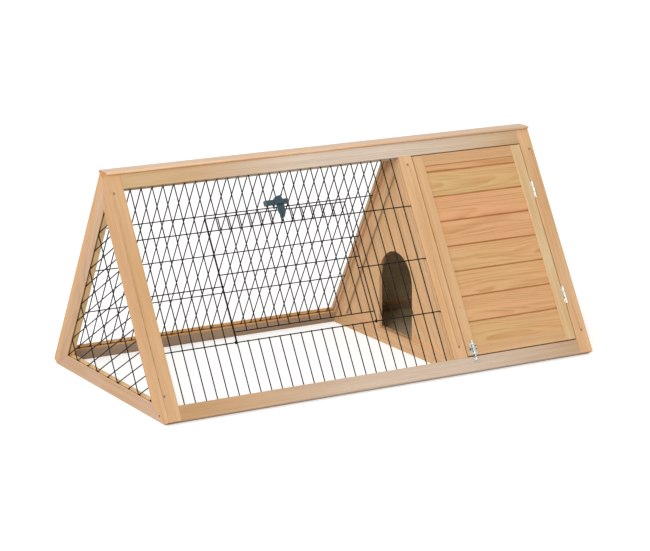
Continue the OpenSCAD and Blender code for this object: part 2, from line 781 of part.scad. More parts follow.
module lower_hinge_door_leaf() { hinge_door_leaf(hinge_mid_y[1]); }
module lower_hinge_pin() { hinge_pin(hinge_mid_y[1]); }

// The bolt: a backplate with two guides, a rod with a bent handle, and a keeper on the bottom rail
module bolt_loop(y0, length) {
    r = bolt_d / 2 + bolt_clear + bolt_wall;
    foot_z = bolt_plate_t - 0.2;
    difference() {
        union() {
            translate([bolt_x - r, y0, foot_z]) cube([2 * r, length, bolt_z - foot_z]);
            translate([bolt_x, y0, bolt_z]) rotate([-90, 0, 0])
                cylinder(r = r, h = length, $fn = round_fn);
        }
        translate([bolt_x, y0 - e, bolt_z]) rotate([-90, 0, 0])
            cylinder(r = bolt_d / 2 + bolt_clear, h = length + 2 * e, $fn = round_fn);
        translate([bolt_x - r - e, y0 - e, -2 * r])
            cube([2 * r + 2 * e, length + 2 * e, 2 * r + foot_z]);
    }
}
module bolt_plate() {
    color(STEEL) on_front() union() {
        translate([bolt_x - bolt_plate_w / 2, bolt_plate_y, 0])
            cube([bolt_plate_w, bolt_plate_l, bolt_plate_t]);
        bolt_loop(bolt_plate_y + 1, bolt_guide_l);
        bolt_loop(bolt_plate_y + bolt_plate_l - bolt_guide_l - 0.5, bolt_guide_l);
    }
}
module bolt_rod() {
    top_y = bolt_plate_y + bolt_plate_l + bolt_throw - 1;
    handle_y = bolt_plate_y + 1 + bolt_guide_l + 2.7 + handle_d / 2 + bolt_throw;
    color(STEEL) on_front() union() {
        translate([bolt_x, bolt_tip_y, bolt_z]) rotate([-90, 0, 0]) {
            cylinder(d1 = bolt_d - 1, d2 = bolt_d, h = 1, $fn = round_fn);
            translate([0, 0, 1]) cylinder(d = bolt_d, h = top_y - bolt_tip_y - 1, $fn = round_fn);
        }
        translate([bolt_x, handle_y, bolt_z]) rotate([0, -70, 0]) {
            cylinder(d = handle_d, h = handle_l, $fn = round_fn);
            translate([0, 0, handle_l]) {
                sphere(d = handle_d, $fn = round_fn);
                rotate([-55, 0, 0]) {
                    cylinder(d = handle_d, h = handle_tip_l, $fn = round_fn);
                    translate([0, 0, handle_tip_l]) sphere(d = handle_d, $fn = round_fn);
                }
            }
        }
    }
}
module bolt_keeper() {
    color(STEEL) on_front() union() {
        translate([bolt_x - keeper_w / 2, keeper_y1 - keeper_l - 3, 0])
            cube([keeper_w, keeper_l + 5, bolt_plate_t]);
        bolt_loop(keeper_y1 - keeper_l, keeper_l);
    }
}

front_left_stile();
front_mid_stile();
front_right_stile();
front_top_rail();
front_bottom_rail();
back_left_stile();
back_mid_stile();
back_right_stile();
back_top_rail();
back_bottom_rail();
ridge_batten();
left_front_leg();
left_back_leg();
left_bottom_rail();
divider_front_leg();
divider_back_leg();
divider_bottom_rail();
divider_panel();
right_front_leg();
right_back_leg();
right_bottom_rail();
right_end_boards();
house_back_boards();
house_floor();
front_mesh();
back_mesh();
left_end_mesh();
front_screws();
back_screws();
door_left_stile();
door_right_stile();
door_top_rail();
door_bottom_rail();
door_boards();
upper_hinge_frame_leaf();
upper_hinge_door_leaf();
upper_hinge_pin();
lower_hinge_frame_leaf();
lower_hinge_door_leaf();
lower_hinge_pin();
bolt_plate();
bolt_rod();
bolt_keeper();
wire_door();
latch_keeper();
latch_tongue();
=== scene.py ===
# %% [markdown]
# # An outdoor rabbit run, dressed for a studio picture
# The carpentry comes packed from the construction step: battens, boards, hinges, bolt and latch, all
# at their real size in metres, with the ridge along X and the front towards -Y. This lesson gives
# them wood, zinc and plastic, rebuilds the welded mesh as round wire, and lights the whole.

# %% Load the frame
import math
from functools import partial

import bpy
import numpy as np
from mathutils import Matrix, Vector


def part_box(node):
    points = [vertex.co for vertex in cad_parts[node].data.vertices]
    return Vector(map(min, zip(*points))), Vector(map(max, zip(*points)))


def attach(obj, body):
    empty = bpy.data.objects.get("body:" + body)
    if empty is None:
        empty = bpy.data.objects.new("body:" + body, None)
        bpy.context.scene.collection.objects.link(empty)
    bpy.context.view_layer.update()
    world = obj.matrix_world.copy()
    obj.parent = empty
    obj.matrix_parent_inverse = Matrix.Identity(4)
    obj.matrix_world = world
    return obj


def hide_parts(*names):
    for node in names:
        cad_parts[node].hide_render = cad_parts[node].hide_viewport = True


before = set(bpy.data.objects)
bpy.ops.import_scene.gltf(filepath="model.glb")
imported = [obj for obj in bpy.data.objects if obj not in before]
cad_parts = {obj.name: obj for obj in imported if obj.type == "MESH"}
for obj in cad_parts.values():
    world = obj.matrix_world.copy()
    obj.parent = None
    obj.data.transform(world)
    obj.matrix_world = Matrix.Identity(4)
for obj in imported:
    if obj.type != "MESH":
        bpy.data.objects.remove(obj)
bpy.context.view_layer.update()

# %% [markdown]
# The sloping panels are easiest to think of flat. On a panel, x runs along the run, y runs up the
# slope from the panel's foot and z stands out of its outer face. One rotation about X leans the
# flat panel over; the back panel is its mirror image. The lean and the batten's thickness are the
# carpenter's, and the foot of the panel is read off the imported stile.

# %% Panel coordinates
LEAN = math.radians(60)
BATTEN_T = 0.020
RUN = np.array([1, 0, 0])
UP_SLOPE = np.array([0, math.cos(LEAN), math.sin(LEAN)])
OUT_OF_SLOPE = np.array([0, -math.sin(LEAN), math.cos(LEAN)])
PANEL_FOOT = np.array([0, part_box("front_left_stile")[0].y, BATTEN_T * math.cos(LEAN)])
MIRROR = np.array([1, -1, 1])


def on_front(flat):
    """Flat panel points to the frame: foot + x along X + y up the slope + z out of the slope."""
    flat = np.asarray(flat, float)
    return (PANEL_FOOT + flat[..., :1] * RUN
            + flat[..., 1:2] * UP_SLOPE + flat[..., 2:] * OUT_OF_SLOPE)


def on_back(flat):
    """The same points mirrored in the plane under the ridge."""
    return on_front(flat) * MIRROR


print("panel foot:", np.round(PANEL_FOOT, 4))

# %% [markdown]
# A camera or a lamp has no mesh, so its object is turned and moved itself. Its matrix holds its three
# axes and its place side by side. Both look along their own -Z, so Z is the direction back from what
# they look at.


# %% Standing a camera or a lamp
def unit(vectors):
    """Each vector divided by its own length."""
    return vectors / np.linalg.norm(vectors, axis=-1, keepdims=True)


def stand(name, data, axes, place):
    """Links an object whose X, Y and Z axes are the three given ones, and whose origin is at place."""
    thing = bpy.data.objects.new(name, data)
    matrix = np.eye(4)
    matrix[:3] = np.column_stack([*axes, place])
    thing.matrix_world = Matrix(matrix)
    bpy.context.collection.objects.link(thing)
    return thing


print("unit vector:", unit(np.array([3.0, 0, 4.0])))

# %% [markdown]
# The camera's place, direction and focal length were solved from the corners of the frame in the
# photograph: a long lens, a little above the run and well to its left. Roll is the small tilt that a
# hand leaves.

# %% Camera
CAMERA_PLACE = np.array([-2.8474, -4.9225, 1.5955])
YAW, PITCH, ROLL = (math.radians(a) for a in (30.069, 13.673, 0.239))
FOCAL_PX, PICTURE_WIDTH_PX = 2377.1, 650
SENSOR_MM = 36

forward = np.array([math.sin(YAW) * math.cos(PITCH), math.cos(YAW) * math.cos(PITCH), -math.sin(PITCH)])
level_right = unit(np.cross(forward, [0, 0, 1]))
level_down = np.cross(forward, level_right)
right = math.cos(ROLL) * level_right + math.sin(ROLL) * level_down
down = math.cos(ROLL) * level_down - math.sin(ROLL) * level_right

camera_data = bpy.data.cameras.new("studio_camera")
camera_data.sensor_width, camera_data.sensor_fit = SENSOR_MM, "HORIZONTAL"
camera_data.lens = FOCAL_PX / PICTURE_WIDTH_PX * SENSOR_MM
camera_data.clip_start, camera_data.clip_end = 0.1, 100
bpy.context.scene.camera = stand("studio_camera", camera_data, (right, -down, -forward), CAMERA_PLACE)
print("lens:", round(camera_data.lens, 2), "mm")

# %% [markdown]
# A colour is written the way a paint program shows it, as sRGB hex, and the shader wants linear
# light, so one function turns it.


# %% Colours
def linear(hex_colour):
    """sRGB hex to linear RGBA: c / 12.92 below 0.04045, else ((c + 0.055) / 1.055) ** 2.4."""
    srgb = np.array([int(hex_colour[i:i + 2], 16) for i in (1, 3, 5)]) / 255
    rgb = np.where(srgb <= 0.04045, srgb / 12.92, ((srgb + 0.055) / 1.055) ** 2.4)
    return (*rgb.tolist(), 1.0)


print("mid grey in linear light:", round(linear("#808080")[0], 3))

# %% [markdown]
# A procedural material is a chain of small nodes. One function adds a node with its settings and
# its links, so that a material reads as a list of steps. A node is handed on as it is, and stands
# for the first output that its settings leave it.


# %% Shader nodes
def add(tree, kind, inputs=(), **settings):
    """Adds a shader node. settings are its properties. inputs fill its live sockets, as a list in
    their order or as a dictionary by name, each with a value, an output or an earlier node."""
    made = tree.nodes.new("ShaderNode" + kind)
    for name, value in settings.items():
        setattr(made, name, value)
    live = [socket for socket in made.inputs if socket.enabled]
    named = inputs if isinstance(inputs, dict) else dict(enumerate(inputs))
    for key, value in named.items():
        socket = made.inputs[key] if isinstance(key, str) else live[key]
        if isinstance(value, bpy.types.Node):
            value = next(output for output in value.outputs if output.enabled)
        if isinstance(value, bpy.types.NodeSocket):
            tree.links.new(value, socket)
        else:
            socket.default_value = value
    return made


print("node helper ready")


# %% Materials and the nodes that wear them
def new_material(name):
    """An empty material, and add() bound to its node tree."""
    material = bpy.data.materials.new(name)
    material.use_nodes = True
    material.node_tree.nodes.clear()
    return material, partial(add, material.node_tree)


def dress(node_name, material):
    """Gives a CAD node its material in every slot."""
    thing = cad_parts[node_name]
    if not thing.data.materials:
        thing.data.materials.append(material)
    for slot in thing.material_slots:
        slot.material = material


print("nodes to dress:", len(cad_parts))

# %% [markdown]
# Planed softwood, such as fir, is a stack of growth rings about a pith that usually lies outside
# the batten. On the face the rings make long lines and flames, and on the end they make arcs. An
# image could show one face, but a solid pattern also gives the right end grain and never
# stretches. So the first step is the place in the piece as its sawyer sees it: x along the grain, y
# across the face and z into it. A Mapping node turns the object's own coordinates to that, and
# shifts each piece to its own stretch of the tree.

# %% Grain space
# Each grain is (direction along it, direction across the face)
GRAIN_X, GRAIN_X_BACK = (RUN, UP_SLOPE), (RUN, UP_SLOPE * MIRROR)
GRAIN_UP_FRONT, GRAIN_UP_BACK = (UP_SLOPE, RUN), (UP_SLOPE * MIRROR, RUN)
GRAIN_Y = (np.array([0, 1, 0]), np.array([0, 0, 1]))
TREE_STEP = 1.9         # metres from one piece's stretch of the tree to the next one's


def grain_space(node, middle, grain, seed):
    """The inverse of a turn to (along, across, into) about middle, seed * TREE_STEP up the tree."""
    along, across = grain
    turn = Matrix(np.column_stack([along, across, np.cross(along, across)]).tolist()).to_euler()
    return node("Mapping", [node("TexCoord").outputs["Object"], middle - along * seed * TREE_STEP, turn],
                vector_type="TEXTURE")


print("grain runs:", GRAIN_UP_FRONT[0].round(3))

# %% [markdown]
# Wood is uneven at every size, and always longer along the grain than across it. Five noises give
# that, each as long and as wide in millimetres as the thing it draws. A real fibre is finer than
# any pixel of the picture, so fibre is drawn as fine as the picture can show.

# %% Noises drawn out along the grain
NOISES_MM = {           # name: (length along the grain, width across it, detail)
    "sway": (420, 90, 1.0),         # how the trunk bent while it grew
    "waver": (80, 15, 2.0),         # the small wander of one ring
    "fibre": (45, 1.3, 3.0),        # fibres and pores
    "bundle": (260, 7.0, 3.0),      # bands of tighter and looser growth
    "blotch": (300, 70, 2.0),       # where the stain took more or less
}
NOISE_ROUGHNESS = 0.55  # how much each finer layer of a noise counts


def grain_noises(node, place):
    """Each noise reads the place divided by its own size, so one noise cell has that size."""
    return {name: node("TexNoise", {
        "Vector": node("VectorMath", [place, (1000 / long, 1000 / wide, 1000 / wide)], operation="MULTIPLY"),
        "Scale": 1.0, "Detail": detail, "Roughness": NOISE_ROUGHNESS})
        for name, (long, wide, detail) in NOISES_MM.items()}


print("noises:", list(NOISES_MM))

# %% [markdown]
# A ring is pale spring wood that darkens slowly into a thin line of summer wood and stops short. So
# the distance from the pith is bent by two of the noises, divided by the ring spacing and folded
# to 0..1. A slow rise times a quick fall gives the line its soft inner and sharp outer edge. Fir
# from a fast plantation has rings 3 to 5 mm apart.

# %% Growth rings
RING_MM = 3.6
SWAY_M, WAVER_M = 0.034, 0.0030         # how far the trunk's bend and a ring's wander move a line
RISE, FALL = (0.15, 0.85), (1.0, 0.88)  # the parts of a ring where its darkness comes and goes


def growth_rings(node, place, pith, noises):
    """Darkness 0..1 of the summer wood: fract(bent distance from the pith / RING_MM), shaped."""
    from_pith = node("VectorMath", [place, (0, 1, 1), (0, *pith)], operation="MULTIPLY_ADD")
    radius = node("VectorMath", [from_pith], operation="LENGTH")
    swayed = node("Math", [noises["sway"], SWAY_M, radius], operation="MULTIPLY_ADD")
    bent = node("Math", [noises["waver"], WAVER_M, swayed], operation="MULTIPLY_ADD")
    ring = node("Math", [node("Math", [bent, RING_MM / 1000], operation="DIVIDE")], operation="FRACT")
    rise = node("MapRange", [ring, *RISE], interpolation_type="SMOOTHSTEP")
    fall = node("MapRange", [ring, *FALL], interpolation_type="SMOOTHSTEP")
    return node("Math", [rise, fall], operation="MULTIPLY")


print("rings:", RING_MM, "mm apart")

# %% [markdown]
# Where one node holds a stack of boards, every board is cut from another plank. The seam below a
# board gives its number. The number moves the board along the tree, and a dice roll moves it
# sideways from the pith. Stain also gathers in the V between two boards, so the distance to the
# nearest seam is kept as well.

# %% Board space
BOARD_W = 0.065
BOARD_STEP = 3.1                # metres along the tree from one board's plank to the next one's
SEAM_M = (0.0042, 0.0004)       # the pool of stain fades out and is full this far from the seam


def board_space(node, place, first_seam, seed):
    """(place inside its own board, board number, pool of stain 0..1), from y / BOARD_W."""
    along, across, into = node("SeparateXYZ", [place]).outputs
    steps = node("Math", [node("Math", [across, first_seam], operation="SUBTRACT"), BOARD_W],
                 operation="DIVIDE")
    number = node("Math", [steps], operation="FLOOR")
    part = node("Math", [steps], operation="FRACT")
    dice = node("TexWhiteNoise", [node("Math", [number, seed], operation="ADD")], noise_dimensions="1D")
    inside = node("Math", [node("Math", [part, dice], operation="SUBTRACT"), BOARD_W], operation="MULTIPLY")
    moved = node("Math", [number, BOARD_STEP, along], operation="MULTIPLY_ADD")
    off_middle = node("Math", [node("Math", [part, 0.5], operation="SUBTRACT")], operation="ABSOLUTE")
    from_seam = node("Math", [off_middle, -BOARD_W, BOARD_W / 2], operation="MULTIPLY_ADD")
    pool = node("MapRange", [from_seam, *SEAM_M], interpolation_type="SMOOTHSTEP")
    return node("CombineXYZ", [moved, inside, into]), number, pool


print("board width:", BOARD_W)

# %% [markdown]
# The colours go on in the order the wood got them. The ground is a clear honey stain that took
# unevenly, so it wanders in patches between a tone and a blush. A stack of boards also has a warmth
# for each plank, on a ramp with one flat step for each board. Its lowest board lies below the first
# seam and so has number -1, and half a step more reads the middle of a step. Long rails were paled
# by the sun along their middles, which fades out along the grain.

# %% Stain
PATCHY = (0.35, 0.68)           # the blotch noise gives all tone below the first, all blush above the second
PATCH_SHARE = 0.3               # the patches' share in the tint of a board; the rest is its plank's warmth
MAX_BOARDS = 10
PALE_CORE = 0.15                # this part of a paled stretch is paled fully


def board_warmth(node, number, warmths):
    """The ramp's step at (number + 1.5) / MAX_BOARDS, which is the board's own warmth."""
    step = node("Math", [node("Math", [number, 1.5], operation="ADD"), MAX_BOARDS], operation="DIVIDE")
    ramp = node("ValToRGB", [step])
    ramp.color_ramp.interpolation = "CONSTANT"
    for n, level in enumerate(warmths):
        stop = ramp.color_ramp.elements[0] if n == 0 else ramp.color_ramp.elements.new(n / MAX_BOARDS)
        stop.color = (level, level, level, 1)
    return ramp


def stained(node, blotch, tone, blush, warmth):
    """Tone to blush by the patches, or by warmth + PATCH_SHARE * (patches - warmth) on boards."""
    blushing = node("MapRange", [blotch, *PATCHY], interpolation_type="SMOOTHSTEP")
    if warmth is not None:
        blushing = node("Mix", [PATCH_SHARE, warmth, blushing], data_type="FLOAT")
    return node("Mix", [blushing, linear(tone), linear(blush)], data_type="RGBA")


def sun_paled(node, ground, along, middle, half, colour):
    """Ground to colour as |along - middle| falls from half to PALE_CORE * half."""
    off = node("Math", [node("Math", [along, middle], operation="SUBTRACT")], operation="ABSOLUTE")
    paled = node("MapRange", [off, half, PALE_CORE * half], interpolation_type="SMOOTHSTEP")
    return node("Mix", [paled, ground, linear(colour)], data_type="RGBA")


print("stain: up to", MAX_BOARDS, "boards in a node")

# %% [markdown]
# Summer wood multiplies the ground darker and redder, bands fade its lines in and out, and fibres
# shade the whole by a few hundredths.

# %% Grain on the stain
SUMMER_WOOD = linear("#e4cfb3")         # multiplied into the ground where a ring line is full
LINE_BANDS = (0.32, 0.66, 0.15, 1.0)    # bundle noise from and to, and the strength of a line there
FIBRE_SHADE = (0.25, 0.75, 0.94, 1.05)  # fibre noise from and to, and the brightness there
BUNDLE_SHADE = (0.25, 0.75, 1.05, 0.95)


def fibre_shade(node, noises):
    """Brightness of the bare fibres: one small range from fine fibres times one from their bundles."""
    return node("Math", [node("MapRange", [noises["fibre"], *FIBRE_SHADE]),
                         node("MapRange", [noises["bundle"], *BUNDLE_SHADE])], operation="MULTIPLY")


def grained(node, ground, late, noises, shade, figure):
    """Ground times SUMMER_WOOD to the strength late * band * figure, all of it times the shade."""
    band = node("MapRange", [noises["bundle"], *LINE_BANDS])
    line = node("Math", [node("Math", [late, band], operation="MULTIPLY"), figure], operation="MULTIPLY")
    lined = node("Mix", [line, ground, SUMMER_WOOD], data_type="RGBA", blend_type="MULTIPLY")
    return node("VectorMath", [lined, shade], operation="SCALE")


print("summer wood:", np.round(SUMMER_WOOD[:3], 3))

# %% [markdown]
# Two kinds of face look different, and the face's own normal tells them. A sawn end shows open
# fibres that drink stain, so it is darker. An odd side has another colour than the rest: boards that
# look into the house stay raw and pale, and some batten sides are painted lighter or darker for light and
# shade.

# %% Sawn ends and odd sides
END_GRAIN = linear("#d2b494")           # multiplied in on a sawn end
END_FACING, ODD_FACING = (0.7, 0.95), (0.5, 0.8)    # cosines where such a face begins and is full


def sawn_ends(node, colour, outward, along):
    """Colour times END_GRAIN where |outward . along the grain| is near 1."""
    along_grain = node("Math", [node("VectorMath", [outward, along], operation="DOT_PRODUCT")],
                       operation="ABSOLUTE")
    return node("Mix", [node("MapRange", [along_grain, *END_FACING]), colour, END_GRAIN],
                data_type="RGBA", blend_type="MULTIPLY")


def odd_sided(node, colour, outward, shade, direction, odd_colour):
    """Colour to the odd colour, shaded by its own fibres, where outward . direction is near 1."""
    facing = node("VectorMath", [outward, direction], operation="DOT_PRODUCT")
    odd = node("VectorMath", [linear(odd_colour)[:3], shade], operation="SCALE")
    return node("Mix", [node("MapRange", [facing, *ODD_FACING]), colour, odd], data_type="RGBA")


print("end grain:", np.round(END_GRAIN[:3], 3))

# %% [markdown]
# The recipe puts the steps together. Planing leaves the hard summer lines slightly proud and
# slightly glossier, which bump and roughness follow. The stain soaks in and leaves no film, so the
# wood shines less than varnished wood would.

# %% Stained softwood
SEAM_STAIN = linear("#ecdfd0")          # multiplied into the colour at the bottom of a seam
SUMMER_PROUD = 0.6                      # height of a summer line beside that of a fibre
PLANED_BUMP, PLANED_DEPTH = 0.3, 0.00025    # strength of the bump, and its depth in metres
PLANED_ROUGH = (0.60, 0.50)             # roughness of spring and of summer wood
NO_FILM_SPECULAR = 0.35


def softwood(name, middle, grain, tone, blush, seed, pith, figure, boards=None, odd_side=None,
             bleach=None):
    """pith is (across, into) from the pith to the middle, figure the strength of the ring lines,
    boards (first seam, warmth of each board), odd_side (direction, colour) of a side left raw or painted
    lighter or darker for light and shade, and bleach (middle, half length, colour) of a stretch along the
    grain that the sun paled."""
    material, node = new_material(name)
    place = local = grain_space(node, middle, grain, seed)
    warmth = None
    if boards:
        first_seam, warmths = boards
        place, number, pool = board_space(node, local, first_seam, seed)
        warmth = board_warmth(node, number, warmths)
    noises = grain_noises(node, place)
    late = growth_rings(node, place, pith, noises)

    ground = stained(node, noises["blotch"], tone, blush, warmth)
    if bleach:
        pale_middle, half, pale = bleach
        ground = sun_paled(node, ground, node("SeparateXYZ", [local]), seed * TREE_STEP + pale_middle,
                           half, pale)
    shade = fibre_shade(node, noises)
    colour = grained(node, ground, late, noises, shade, figure)
    outward = node("TexCoord").outputs["Normal"]
    colour = sawn_ends(node, colour, outward, grain[0])
    if boards:
        colour = node("Mix", [pool, colour, SEAM_STAIN], data_type="RGBA", blend_type="MULTIPLY")
    if odd_side:
        colour = odd_sided(node, colour, outward, shade, *odd_side)

    height = node("Math", [late, SUMMER_PROUD, noises["fibre"]], operation="MULTIPLY_ADD")
    bump = node("Bump", {"Height": height, "Strength": PLANED_BUMP, "Distance": PLANED_DEPTH})
    gloss = node("MapRange", [late, 0.0, 1.0, *PLANED_ROUGH])
    node("OutputMaterial", [node("BsdfPrincipled", {
        "Base Color": colour, "Roughness": gloss, "Normal": bump, "Specular IOR Level": NO_FILM_SPECULAR})])
    return material


print("softwood recipe ready")

# %% [markdown]
# Carpenters take the sharp arris off every planed edge; without that, two touching battens would
# show no line between them. A Weld modifier joins the imported triangles first, so that Bevel finds
# the edges.

# %% Eased edges
ARRIS = 0.0008          # how much of each edge the plane takes off
SHARP = math.radians(30)
LOOSE = 0.00001         # points of loose triangles that lie nearer than this are one


def ease_edges(node_name, width=ARRIS):
    """Weld joins the loose triangles, then Bevel rounds every edge sharper than SHARP."""
    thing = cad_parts[node_name]
    thing.modifiers.new("join", "WELD").merge_threshold = LOOSE
    bevel = thing.modifiers.new("arris", "BEVEL")
    bevel.width, bevel.segments, bevel.limit_method, bevel.angle_limit = width, 2, "ANGLE", SHARP


def middle_of(node_name):
    """The middle of a CAD node's box."""
    return np.array(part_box(node_name)).mean(axis=0)


print("arris:", ARRIS)

# %% [markdown]
# Every batten was sawn from its own tree, so each gets its own material from the same recipe, with
# its own pith, seed and tint. Four tables name each batten's grain and tint, the long rails that the
# sun paled, and the sides whose colour is painted lighter or darker for light and shade.

# %% Tints and grain of the battens
TINTS = {               # name: (tone, blush)
    "honey": ("#d8ab7a", "#ddb486"),
    "tan": ("#d6aa7c", "#dbb68e"),
    "rose": ("#cca580", "#d0ad90"),
    "straw": ("#dbb887", "#e0c499"),
    "ash": ("#d1a071", "#d6aa7c"),
    "wheat": ("#cea373", "#d4ab7f"),
    "dun": ("#c8a478", "#cdae86"),
    "umber": ("#bf976c", "#c8a279"),
    "sunny": ("#dfb180", "#e4ba8c"),
    "amber": ("#d9a25e", "#dba868"),
    # painted light: the ridge's tint is lighter than the other battens' to make up for the light its steep
    # front face lacks
    "peach": ("#f8cca0", "#fad2aa"),
    # painted light: the divider's tint is lighter than the other battens' to make up for the shade of the
    # frame and mesh around it
    "pale": ("#f0c190", "#f3c89a"),
}
BATTENS = {             # node: (grain, tint)
    "front_left_stile": (GRAIN_UP_FRONT, "wheat"), "front_mid_stile": (GRAIN_UP_FRONT, "sunny"),
    "front_right_stile": (GRAIN_UP_FRONT, "sunny"), "front_top_rail": (GRAIN_X, "dun"),
    "front_bottom_rail": (GRAIN_X, "umber"), "back_left_stile": (GRAIN_UP_BACK, "honey"),
    "back_mid_stile": (GRAIN_UP_BACK, "tan"), "back_right_stile": (GRAIN_UP_BACK, "rose"),
    "back_top_rail": (GRAIN_X_BACK, "honey"), "back_bottom_rail": (GRAIN_X_BACK, "amber"),
    "ridge_batten": (GRAIN_X, "peach"),
    "left_front_leg": (GRAIN_UP_FRONT, "ash"), "left_back_leg": (GRAIN_UP_BACK, "rose"),
    "left_bottom_rail": (GRAIN_Y, "rose"),
    "divider_front_leg": (GRAIN_UP_FRONT, "pale"), "divider_back_leg": (GRAIN_UP_BACK, "pale"),
    "divider_bottom_rail": (GRAIN_Y, "pale"),
    "right_front_leg": (GRAIN_UP_FRONT, "tan"), "right_back_leg": (GRAIN_UP_BACK, "honey"),
    "right_bottom_rail": (GRAIN_Y, "honey"),
    "door_left_stile": (GRAIN_UP_FRONT, "honey"), "door_right_stile": (GRAIN_UP_FRONT, "straw"),
    "door_top_rail": (GRAIN_X, "ash"), "door_bottom_rail": (GRAIN_X, "honey"),
}
print("tints:", len(TINTS), "battens:", len(BATTENS))

# %% Battens
SUN_PALED = {           # batten: (middle of the pale stretch, half its length, colour)
    "front_top_rail": (0.08, 0.55, "#d9c7b5"),
    "front_bottom_rail": (0.12, 0.62, "#d6c0ac"),
    "ridge_batten": (0.45, 0.50, "#e2bd98"),
}
INTO_BACK = -OUT_OF_SLOPE * MIRROR
PAINTED_LIGHT_SIDES = {            # batten: (the way the side looks, its colour painted lighter or darker for light and shade)
    "ridge_batten": ((0, 0, 1), "#dcbc9f"),             # painted shade: the top is darker and greyer than the sides, whose tint is painted lighter
    "back_bottom_rail": (INTO_BACK, "#c2a488"),         # painted shade: the inner face is painted darker and greyer for the shade inside the run
    "left_back_leg": (INTO_BACK, "#f4cc90"),            # painted light: the inner side, which faces down and in, is painted lighter as if lit from the front
    # painted light: the bottom rail's top face is painted lighter, as if lit from above
    "left_bottom_rail": ((0, 0, 1), "#efc48c"),
    "divider_back_leg": (INTO_BACK, "#b39c7b"),         # painted shade: the inner edge, which faces down and in, is painted darker and greyer
}
PITH_ACROSS, PITH_INTO = (0.05, 0.11), (0.02, 0.06)     # metres from the pith to a batten's middle
BATTEN_FIGURE, BOARD_FIGURE = 0.6, 0.8                  # how strongly the ring lines show

rng = np.random.default_rng(7)          # the same trees each run
for seed, (name, (grain, tint)) in enumerate(BATTENS.items(), start=1):
    pith = (rng.uniform(*PITH_ACROSS) * rng.choice([-1, 1]), rng.uniform(*PITH_INTO))
    dress(name, softwood("softwood_" + name, middle_of(name), grain, *TINTS[tint], seed, pith,
                         BATTEN_FIGURE, odd_side=PAINTED_LIGHT_SIDES.get(name), bleach=SUN_PALED.get(name)))
    ease_edges(name)
print("battens dressed:", len(BATTENS))

# %% [markdown]
# The tongued boards are flat-sawn, close to the pith, so they show flames rather than lines. Their
# planks differ most: some are cool and yellow, some warm and orange, so a table holds the warmth of
# each board from the bottom up. Only their outer faces were stained.

# %% Boards
BOARD_TINT = ("#d6af77", "#e2a577")
BOARD_PITH = (0.004, 0.035)             # metres from the pith to a board's middle, across and into
RAW_WOOD = "#e2d3b4"
IN_FRONT, IN_RIGHT = -OUT_OF_SLOPE, (-1, 0, 0)
BOARDED = {             # node: (grain, direction inwards, foot and height of the first seam, warmths)
    "door_boards": (GRAIN_X, IN_FRONT, PANEL_FOOT, 0.123, (0.1, 0.6, 0.4, 0.3, 0.8, 0.9, 0.0, 0.6)),
    "house_back_boards": (GRAIN_X_BACK, INTO_BACK, PANEL_FOOT * MIRROR, 0.030,
                          (0.4, 0.9, 0.2, 0.6, 0.1, 0.8, 0.5, 0.9, 0.3)),
    "right_end_boards": (GRAIN_Y, IN_RIGHT, np.zeros(3), 0.030, (0.3, 0.8, 0.2, 0.6, 0.9, 0.1, 0.5, 0.7)),
}
for seed, (name, (grain, inside, foot, first_seam, warmths)) in enumerate(BOARDED.items(), start=40):
    middle = middle_of(name)
    seam = first_seam + np.dot(foot - middle, grain[1])
    dress(name, softwood("tongued_" + name, middle, grain, *BOARD_TINT, seed, BOARD_PITH, BOARD_FIGURE,
                         boards=(seam, warmths), odd_side=(inside, RAW_WOOD)))
    ease_edges(name, ARRIS / 2)
print("boarded:", list(BOARDED))

# %% [markdown]
# The divider is one panel glued up from the same wood, stained only towards the run and painted a
# lighter tint than the battens to make up for the shade it lies in, and the house floor is raw
# plywood, whose peeled face shows broad pale figure. Both patterns turn about the divider's middle;
# the floor's seed alone moves it to another stretch of the tree.

# %% Divider and floor
TOWARDS_HOUSE = (1, 0, 0)
divider_middle = middle_of("divider_panel")
# painted light: the divider panel's colours are lighter than the battens' to make up for the shade it lies
# in
dress("divider_panel", softwood("glued_divider_panel", divider_middle, GRAIN_UP_FRONT, "#f0c08c", "#f3c799",
                                seed=50, pith=(0.3, 0.04), figure=BATTEN_FIGURE,
                                odd_side=(TOWARDS_HOUSE, RAW_WOOD)))
ease_edges("divider_panel", ARRIS / 2)
dress("house_floor", softwood("raw_floor_plywood", divider_middle, GRAIN_X, "#dcc7a3", "#e0cdaa",
                              seed=51, pith=(0.1, 0.3), figure=BATTEN_FIGURE))
ease_edges("house_floor")
print("divider and floor dressed")

# %% [markdown]
# Welded mesh is steel wire laid in two layers, with a spot weld at every crossing, then coated dark.
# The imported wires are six-sided, which carries the motion but shows flats up close. So each panel is
# rebuilt from surfaces worked out as arrays. First come the object and the faces of a tube, which
# every round piece below shares.


# %% Meshes from arrays
def place_mesh(name, points, faces):
    """Makes one object at the origin from an array of points and a list of faces."""
    mesh = bpy.data.meshes.new(name)
    mesh.from_pydata(points.reshape(-1, 3).tolist(), [], faces)
    mesh.validate()
    thing = bpy.data.objects.new(name, mesh)
    bpy.context.collection.objects.link(thing)
    return thing


def shade_smooth(thing):
    """Marks every face smooth, so that the facets of a round surface don't show."""
    thing.data.polygons.foreach_set("use_smooth", np.ones(len(thing.data.polygons), bool))


def tube_faces(rings, sides, first=0):
    """Quads between neighbouring rings of points, and one polygon to close each end."""
    i, j = np.meshgrid(np.arange(rings - 1), np.arange(sides), indexing="ij")
    k = (j + 1) % sides
    quads = np.stack([i * sides + j, i * sides + k, (i + 1) * sides + k, (i + 1) * sides + j], -1) + first
    foot, head = np.arange(sides)[::-1] + first, np.arange(sides) + first + (rings - 1) * sides
    return quads.reshape(-1, 4).tolist() + [foot.tolist(), head.tolist()]


print("faces of a short tube:", len(tube_faces(3, 8)))

